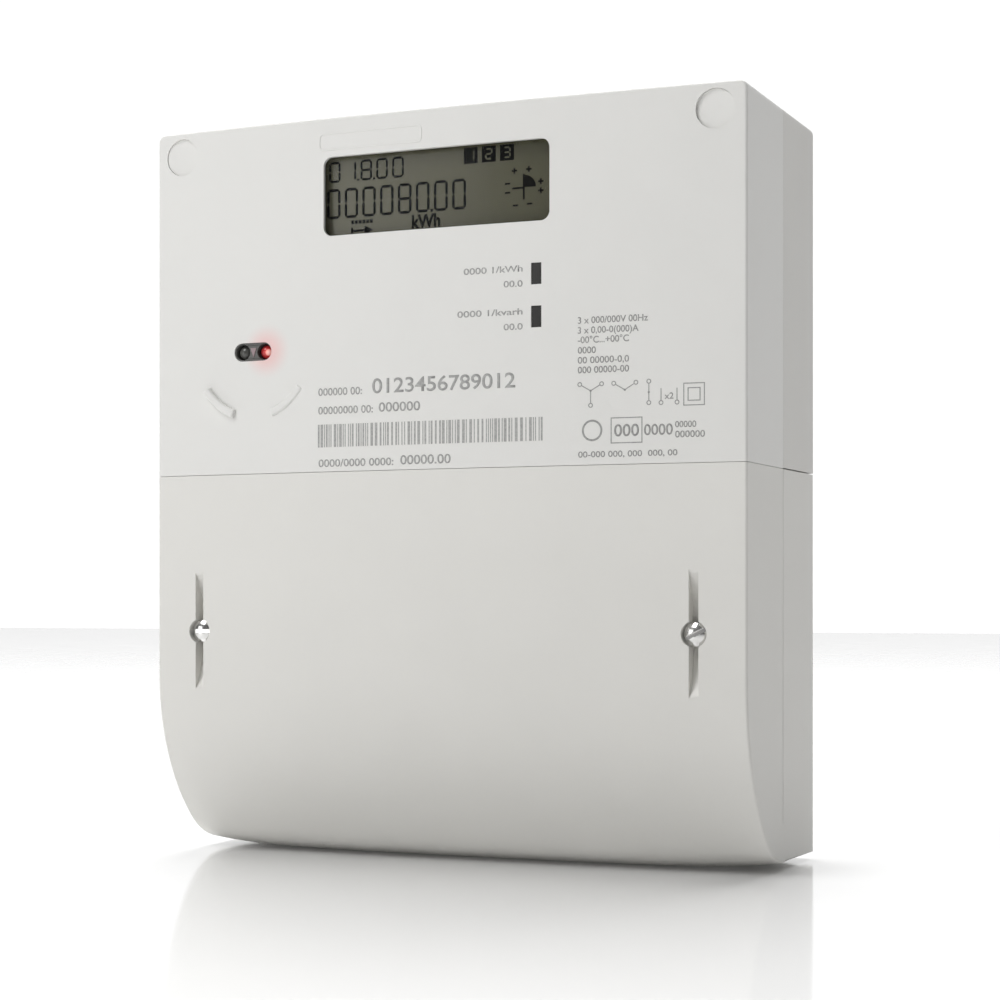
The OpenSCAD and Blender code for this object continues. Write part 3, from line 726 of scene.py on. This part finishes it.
def studio():
    """Camera, pale surroundings, soft lights from the left and from behind, a pale glossy table."""
    bpy.ops.object.camera_add(
        location=(0.2384, -0.5339, 0.06766), rotation=(math.pi / 2, 0, math.radians(22.977)))
    camera = bpy.context.object
    camera.data.lens = 77.51
    camera.data.sensor_width = 36
    camera.data.shift_x = -0.02176
    camera.data.shift_y = 0.1004
    camera.data.clip_start = 0.01
    bpy.context.scene.camera = camera

    world = bpy.data.worlds.new("studio_air")
    bpy.context.scene.world = world
    world.use_nodes = True
    tree = world.node_tree
    background = tree.nodes["Background"]
    background.inputs["Color"].default_value = (1, 1, 1, 1)
    # the air behind the object is bright, the room in front of it and to its right is dim
    coordinates = tree.nodes.new("ShaderNodeTexCoord")
    behind = tree.nodes.new("ShaderNodeVectorMath")
    behind.operation = "DOT_PRODUCT"
    behind.inputs[1].default_value = (-0.7, 1, 0)
    tree.links.new(coordinates.outputs["Generated"], behind.inputs[0])
    room = tree.nodes.new("ShaderNodeMapRange")
    room.interpolation_type = "SMOOTHSTEP"
    room.inputs["From Min"].default_value = 0.3
    room.inputs["From Max"].default_value = 0.85
    room.inputs["To Min"].default_value = 0.16
    room.inputs["To Max"].default_value = 1.05
    tree.links.new(behind.outputs["Value"], room.inputs["Value"])
    path = tree.nodes.new("ShaderNodeLightPath")
    level = tree.nodes.new("ShaderNodeMix")
    level.inputs["B"].default_value = 1.05
    tree.links.new(path.outputs["Is Camera Ray"], level.inputs["Factor"])
    tree.links.new(room.outputs["Result"], level.inputs["A"])
    tree.links.new(level.outputs["Result"], background.inputs["Strength"])

    for name, place, size, power in (
            ("key", (-0.55, -1.0, 1.4), 0.8, 14),
            ("fill", (-0.79, -1.1, 0.3), 0.6, 2.1),
            ("table", (-0.1, 0.5, 1.6), 1.2, 22)):
        bpy.ops.object.light_add(type="AREA", location=place)
        light = bpy.context.object
        light.name = name
        light.data.size = size
        light.data.energy = power
        aim = Vector((0, 0, 0.05)) - light.location
        light.rotation_euler = aim.to_track_quat("-Z", "Y").to_euler()

    bpy.ops.mesh.primitive_plane_add(size=8, location=(0, 0, cad_box[0].z - TOE_CROWN * MM))
    floor = settle("table_top")
    material, tree, shader = start_material("table_white", 0.1)
    gloss = noise_node(tree, place_node(tree), 20, 2)
    rough_spread(tree, shader, gloss, 0.08, 0.12)
    shader.inputs["Base Color"].default_value = (0.9, 0.9, 0.9, 1)
    shader.inputs["Emission Color"].default_value = (1, 1, 1, 1)
    shader.inputs["Emission Strength"].default_value = 0.02
    floor.data.materials.append(material)
    bpy.context.scene.view_settings.view_transform = "Standard"


# ---- small parts seen from the front ----

def turned(profile, x, z, steps=64):
    """Round part that points at the reader, spun from a profile of (radius, d) points."""
    draw_outline([at(x + r, d, z) for r, d in profile])
    bpy.ops.mesh.delete(type="ONLY_FACE")
    pick("EDGE", lambda e: all(abs(v.co.x - x * MM) < 1e-7 for v in e.verts))
    bpy.ops.mesh.delete(type="EDGE")
    bpy.ops.mesh.select_all(action="SELECT")
    bpy.ops.mesh.spin(steps=steps, angle=math.tau, center=at(x, 0, z), axis=(0, -1, 0))
    bpy.ops.mesh.select_all(action="SELECT")
    bpy.ops.mesh.remove_doubles(threshold=MERGE_GAP)
    turn_outwards()
    return settle("turned")


def cover_screw(side, name, slot_angle):
    """Captive screw: plain shank, threaded end, low domed head with a straight slot."""
    x, z = side * SCREW[0], SCREW[1]
    tip_d, thread_d, shank_r, core_r = 30, 37, 2, 1.6
    dome_r, slot_depth, slot_half = 5.4, 1.3, 0.55
    profile = [(0, tip_d), (1.2, tip_d)]
    turns = 8
    for i in range(turns):
        low = tip_d + 0.5 + i * (thread_d - tip_d - 0.5) / turns
        profile += [(core_r, low), (shank_r, low + 0.35), (core_r, low + 0.7)]
    profile += [(shank_r, thread_d), (shank_r, SEAT_D + 0.1), (HEAD_R - 0.2, SEAT_D + 0.1),
                (HEAD_R, SEAT_D + 0.3)]
    top_d = SEAT_D + HEAD_T
    for i in range(9):
        r = HEAD_R * (1 - i / 8)
        profile.append((r, top_d - dome_r + math.sqrt(dome_r ** 2 - r ** 2)))
    screw = turned(profile, x, z)
    slot = box_tool(-HEAD_R - 1, HEAD_R + 1, top_d - slot_depth, top_d + 1, -slot_half, slot_half)
    slot.rotation_euler = (0, math.radians(slot_angle), 0)
    slot.location = Vector((x * MM, 0, z * MM))
    make_active(slot)
    bpy.ops.object.transform_apply(location=True, rotation=True, scale=True)
    combine(screw, slot)
    soften(screw, 0.08, 2)
    screw.name = screw.data.name = name + "_turned"
    finish_piece(screw, name, "screw_nickel", [name])


def optical_element(side, name, slot):
    """Domed optical element: a plain round body with a domed tip."""
    x, z = PORT[0] + side * PORT_PITCH / 2, PORT[1]
    foot = (WALL_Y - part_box(name)[1].y) / MM
    shoulder = PORT_FRONT_D - OPTO_R
    profile = [(0, foot), (OPTO_R, foot), (OPTO_R, shoulder)]
    for i in range(1, 11):
        angle = math.radians(9 * i)
        profile.append((OPTO_R * math.cos(angle), shoulder + OPTO_R * math.sin(angle)))
    profile[-1] = (0, PORT_FRONT_D)
    element = turned(profile, x, z, 48)
    smooth(element, 40)
    element.name = element.data.name = name + "_domed"
    finish_piece(element, "housing", slot, [name])


def port_divider():
    """Small pale wedge that stands between the two optical elements."""
    d = face_d(PORT[0]) - 0.55
    x, z = PORT[0], PORT[1]
    draw_outline([at(x - 0.95, d, z + 1.1), at(x + 0.95, d, z + 1.1), at(x, d, z - 1.5)])
    bpy.ops.mesh.extrude_region_move(TRANSFORM_OT_translate={"value": (0, -0.25 * MM, 0)})
    turn_outwards()
    wedge = settle("port_divider")
    soften(wedge, 0.08)
    finish_piece(wedge, "front_cover", material=DIVIDER_PINK)


# ---- flat marks: print on the front and segments in the display ----

def stroke(x0, z0, x1, z1, width, d=0.0, point=0.0):
    """Straight bar between two points; its ends may come to a point."""
    along = Vector((x1 - x0, z1 - z0)).normalized()
    across = Vector((-along.y, along.x)) * width / 2
    back = along * point
    a, b = Vector((x0, z0)), Vector((x1, z1))
    corners = [a + back + across, a + back - across, b - back - across, b - back + across]
    if point:
        corners = [a, corners[1], corners[2], b, corners[3], corners[0]]
    draw_outline([at(c.x, d, c.y) for c in corners])
    return settle("mark")


def patch(points, d):
    """Flat filled shape through (x, z) points."""
    draw_outline([at(x, d, z) for x, z in points])
    return settle("mark")


def ring(x, z, r, width, d, steps=24):
    """Flat ring."""
    draw_outline([at(x + r * math.cos(math.tau * i / steps), d, z + r * math.sin(math.tau * i / steps))
                  for i in range(steps)])
    bpy.ops.mesh.inset(thickness=width * MM, depth=0)
    bpy.ops.mesh.delete(type="FACE")
    return settle("mark")


def frame_mark(x0, z0, x1, z1, width, d):
    """Flat rectangular outline."""
    draw_outline([at(x, d, z) for x, z in ((x0, z0), (x1, z0), (x1, z1), (x0, z1))])
    bpy.ops.mesh.inset(thickness=width * MM, depth=0)
    bpy.ops.mesh.delete(type="FACE")
    return settle("mark")


FONT_CAP = 0.685      # height of the font's capitals at size 1


def lettering(text, x0, x1, base, cap, d, bold=0.012):
    """Line of plain digits between two places across, standing on a base line."""
    deselect()
    bpy.ops.object.text_add(rotation=(math.pi / 2, 0, 0))
    bpy.context.object.data.body = text
    bpy.context.object.data.offset = bold
    bpy.ops.object.convert(target="MESH")
    obj = bpy.context.object
    low = min(v.co.x for v in obj.data.vertices)
    high = max(v.co.x for v in obj.data.vertices)
    wide = (x1 - x0) * MM / (high - low)
    obj.scale = (wide, cap * MM / FONT_CAP, 1)
    obj.location = at(x0, d, base) - Vector((low * wide, 0, 0))
    return settle("mark")


def lay_on_front(obj):
    """Moves a flat mark's vertices back so that it follows the crowned face."""
    for vert in obj.data.vertices:
        vert.co.y += CROWN * MM * (vert.co.x / MM / HALF_W) ** 2


def finish_mark(objs, name, body, material, on_front=True, thickness=0.02):
    """Joins flat marks into one thin closed piece."""
    obj = join(objs, name)
    if on_front:
        lay_on_front(obj)
    make_active(obj)
    bpy.ops.object.mode_set(mode="EDIT")
    bpy.ops.mesh.select_all(action="SELECT")
    bpy.ops.mesh.remove_doubles(threshold=MERGE_GAP)
    bpy.ops.mesh.normals_make_consistent(inside=False)
    bpy.ops.object.mode_set(mode="OBJECT")
    bpy.ops.object.modifier_add(type="SOLIDIFY")
    obj.modifiers[-1].thickness = thickness * MM
    obj.modifiers[-1].offset = 0
    bpy.ops.object.modifier_apply(modifier=obj.modifiers[-1].name)
    return finish_piece(obj, body, material=material)


# The seven bars of a digit, each from one corner or middle of its cell to another
BARS = {"a": (0, 1, 1, 1), "b": (1, 1, 1, 0.5), "c": (1, 0.5, 1, 0), "d": (0, 0, 1, 0),
        "e": (0, 0.5, 0, 0), "f": (0, 1, 0, 0.5), "g": (0, 0.5, 1, 0.5)}
LIT = {"0": "abcdef", "1": "bc", "2": "abged", "3": "abgcd", "8": "abcdefg"}
DIGIT_GAP = 0.1       # gap at each end of a digit's bar


def digit(char, x, z, width, height, line, d):
    """One digit of lit bars, whose lower left corner is at x, z."""
    marks = []
    half = line / 2
    for bar in LIT[char]:
        u0, v0, u1, v1 = BARS[bar]
        start, end = [Vector((x + half + u * (width - line), z + half + v * (height - line)))
                      for u, v in ((u0, v0), (u1, v1))]
        along = (end - start).normalized() * DIGIT_GAP
        (ax, az), (bx, bz) = start + along, end - along
        marks.append(stroke(ax, az, bx, bz, line, d, half * 0.8))
    return marks


SEGMENT_D = GLASS_D + 0.03


def display_marks():
    """What the display shows: a code, a reading of zeros with a unit, phase squares and a quadrant."""
    small, pitch = [], 4.65
    for i, char in enumerate("01800"):
        small += digit(char, -31.4 + i * pitch, 178.2, 3.4, 5.5, 0.62, SEGMENT_D)
    for i in (1, 2):
        x = -31.4 + i * pitch + 4.0
        small.append(stroke(x - 0.3, 178.5, x + 0.3, 178.5, 0.6, SEGMENT_D))
    finish_mark(small, "display_code", "housing", SEGMENT_BLACK, False)

    large, pitch = [], 5.21
    for i, char in enumerate("00008000"):
        large += digit(char, -32.0 + i * pitch, 168.6, 4.0, 7.95, 0.75, SEGMENT_D)
    x = -32.0 + 6 * pitch - 0.6
    large.append(stroke(x - 0.38, 168.95, x + 0.38, 168.95, 0.75, SEGMENT_D))
    finish_mark(large, "display_reading", "housing", SEGMENT_BLACK, False)

    marks = [lettering("kWh", -7.1, 1.1, 164.7, 3.3, SEGMENT_D, 0.035)]
    marks.append(stroke(-24.8, 165.1, -19.8, 165.1, 0.6, SEGMENT_D))
    marks.append(stroke(-24.6, 164.3, -24.6, 166.0, 0.6, SEGMENT_D))
    marks.append(patch([(-20.9, 163.9), (-18.3, 165.1), (-20.9, 166.3)], SEGMENT_D))
    marks += [stroke(-24.8 + i * 1.1, 167.4, -24.0 + i * 1.1, 167.4, 1.0, SEGMENT_D) for i in range(6)]
    centre_x, centre_z, quarter_r = 24.6, 172.9, 3.1
    marks.append(stroke(centre_x - 3.2, centre_z, centre_x + 0.2, centre_z, 0.5, SEGMENT_D))
    marks.append(stroke(centre_x, centre_z - 3, centre_x, centre_z + quarter_r + 0.4, 0.5, SEGMENT_D))
    quarter = [(centre_x + 0.25, centre_z + 0.1)]
    quarter += arc(centre_x + 0.25, centre_z + 0.1, quarter_r, 0, 90, 12)
    marks.append(patch(quarter, SEGMENT_D))
    for x, z, upright in ((22.0, 177.4, 1), (26.0, 177.55, 1), (29.3, 174.2, 1), (29.3, 171.85, 1),
                          (20.1, 174.2, 0), (20.1, 171.9, 0), (22.3, 168.5, 0), (26.2, 168.7, 0)):
        marks.append(stroke(x - 0.75, z, x + 0.75, z, 0.45, SEGMENT_D))
        if upright:
            marks.append(stroke(x, z - 0.75, x, z + 0.75, 0.45, SEGMENT_D))
    finish_mark(marks, "display_symbols", "housing", SEGMENT_BLACK, False)

    squares, figures = [], []
    for i, char in enumerate("123"):
        x = 7.8 + i * 5.1
        squares.append(patch([(x, 180.2), (x + 3.9, 180.2), (x + 3.9, 184.3), (x, 184.3)], SEGMENT_D))
        figures += digit(char, x + 0.9, 180.8, 2.1, 3.0, 0.45, SEGMENT_D + 0.03)
    finish_mark(squares, "display_phase_squares", "housing", SEGMENT_BLACK, False)
    finish_mark(figures, "display_phase_figures", "housing", FINISHES["display_face"], False)


INK_D = FRONT_D + 0.02


def front_print():
    """Printed rating block, number lines, barcode-like bars and connection symbols; digits only."""
    def lines(rows):
        return [lettering(text, x0, x1, base, cap, INK_D) for text, x0, x1, base, cap in rows]

    finish_mark(lines([
        ("0000 1/kWh", 9.2, 25.5, 151.1, 1.55), ("00.0", 20.3, 25.5, 147.3, 1.55),
        ("0000 1/kvarh", 7.4, 25.5, 140.2, 1.55), ("00.0", 20.3, 25.5, 136.4, 1.55),
    ]), "print_pulse_values", "front_cover", PRINT_GREY)
    finish_mark(lines([
        ("000000 00:", -33.2, -20.1, 121.7, 1.9), ("0123456789012", -17.1, 23.5, 121.8, 3.7),
        ("00000000 00:", -33.2, -16.9, 116.8, 1.9), ("000000", -15.2, -3.2, 116.9, 2.3),
        ("0000/0000 0000:", -33.1, -10.9, 102.9, 1.9), ("00000.00", -8.9, 5.5, 103.0, 2.3),
    ]), "print_number_lines", "front_cover", PRINT_GREY)
    finish_mark(lines([
        ("3 x 000/000V 00Hz", 40.4, 58.8, 137.1, 1.6), ("3 x 0,00-0(000)A", 40.4, 56.4, 134.6, 1.6),
        ("-00\u00b0C...+00\u00b0C", 40.4, 53.9, 132.2, 1.6), ("0000", 40.4, 45.2, 129.6, 1.6),
        ("00 00000-0,0", 40.4, 53.9, 127.1, 1.6), ("000 00000-00", 40.4, 53.9, 124.65, 1.6),
    ]), "print_rating_block", "front_cover", PRINT_DARK)

    rng = random.Random(7)
    bars, x = [], -33.3
    while x < 31.2:
        width = rng.choice((0.28, 0.28, 0.5, 0.75))
        bars.append(stroke(x, 111.05, min(x + width, 31.6), 111.05, 6.0, INK_D))
        x += width + rng.choice((0.3, 0.3, 0.5, 0.7))
    finish_mark(bars, "print_bars", "front_cover", PRINT_GREY)

    line, dot = 0.24, 0.62
    signs = []
    for ends, joint in ((((40.92, 121.8), (46.72, 121.8), (43.8, 116.5)), (43.8, 120.15)),
                        (((49.9, 121.8), (55.7, 121.85)), (52.8, 120.1)),
                        (((59.05, 122.0), (59.05, 116.7)), (59.05, 119.3))):
        for x, z in ends:
            toward = (Vector(joint) - Vector((x, z))).normalized() * dot
            signs.append(ring(x, z, dot, line, INK_D, 16))
            signs.append(stroke(x + toward.x, z + toward.y, joint[0], joint[1], line, INK_D))
        signs.append(ring(joint[0], joint[1], 0.3, 0.2, INK_D, 10))
    for x in (62.2, 66.3):
        signs.append(ring(x, 116.6, dot, line, INK_D, 16))
        signs.append(stroke(x, 116.6 + dot, x, 120.15, line, INK_D))
    signs.append(lettering("x2", 63.1, 65.4, 117.5, 1.5, INK_D))
    signs.append(frame_mark(67.9, 115.65, 73.4, 121.3, 0.26, INK_D))
    signs.append(frame_mark(69.0, 116.8, 72.3, 120.15, 0.26, INK_D))
    signs.append(ring(44.2, 110.2, 2.7, 0.5, INK_D, 40))
    signs.append(frame_mark(49.1, 106.8, 57.4, 113.3, 0.26, INK_D))
    signs += lines([("000", 50.0, 56.5, 108.6, 2.9), ("0000", 57.8, 65.2, 108.7, 2.6),
                    ("00000", 65.8, 71.2, 110.4, 1.5), ("000000", 65.8, 73.4, 107.9, 1.6),
                    ("00-000 000, 000  000, 00", 40.5, 66.4, 103.5, 1.45)])
    finish_mark(signs, "print_symbols", "front_cover", PRINT_DARK)


def raised_outline():
    """Plain raised outline moulded above the display."""
    plate_marks = box_tool(-33.1, -2.7, FRONT_D - 0.5, FRONT_D + 0.14, 186.2, 190.9, 1.3)
    combine(plate_marks, box_tool(-32.6, -3.2, FRONT_D - 1, FRONT_D + 1, 186.7, 190.4, 1.0))
    lay_on_front(plate_marks)
    soften(plate_marks, 0.08, 2)
    plate_marks.name = plate_marks.data.name = "raised_blank_outline"
    finish_piece(plate_marks, "front_cover", "front_cover_plastic")


studio()
front_cover()
terminal_cover()
cover_screw(-1, "cover_screw_left", 0)
cover_screw(1, "cover_screw_right", -25)
optical_element(1, "optical_emitter", "red_emitter")
optical_element(-1, "optical_receiver", "dark_opto")
port_divider()
display_marks()
front_print()
raised_outline()


# ---- carried-over nodes ----

def dress_nodes():
    """Gives every node that stays its finish, with joined corners and slightly broken edges."""
    slots = {part["node"]: part["material_slot"] for part in frame["record"]["subparts"]}
    for name, node in frame["nodes"].items():
        for slot in node.material_slots:
            slot.link = "OBJECT"
            slot.material = FINISHES[slots[name]]
        if not node.material_slots:
            node.data.materials.append(FINISHES[slots[name]])
        weld = node.modifiers.new("joined_corners", "WELD")
        weld.merge_threshold = 2e-6
        bevel = node.modifiers.new("broken_edges", "BEVEL")
        bevel.width = 0.12 * MM
        bevel.segments = 2
        bevel.limit_method = "ANGLE"
        bevel.angle_limit = math.radians(40)


dress_nodes()
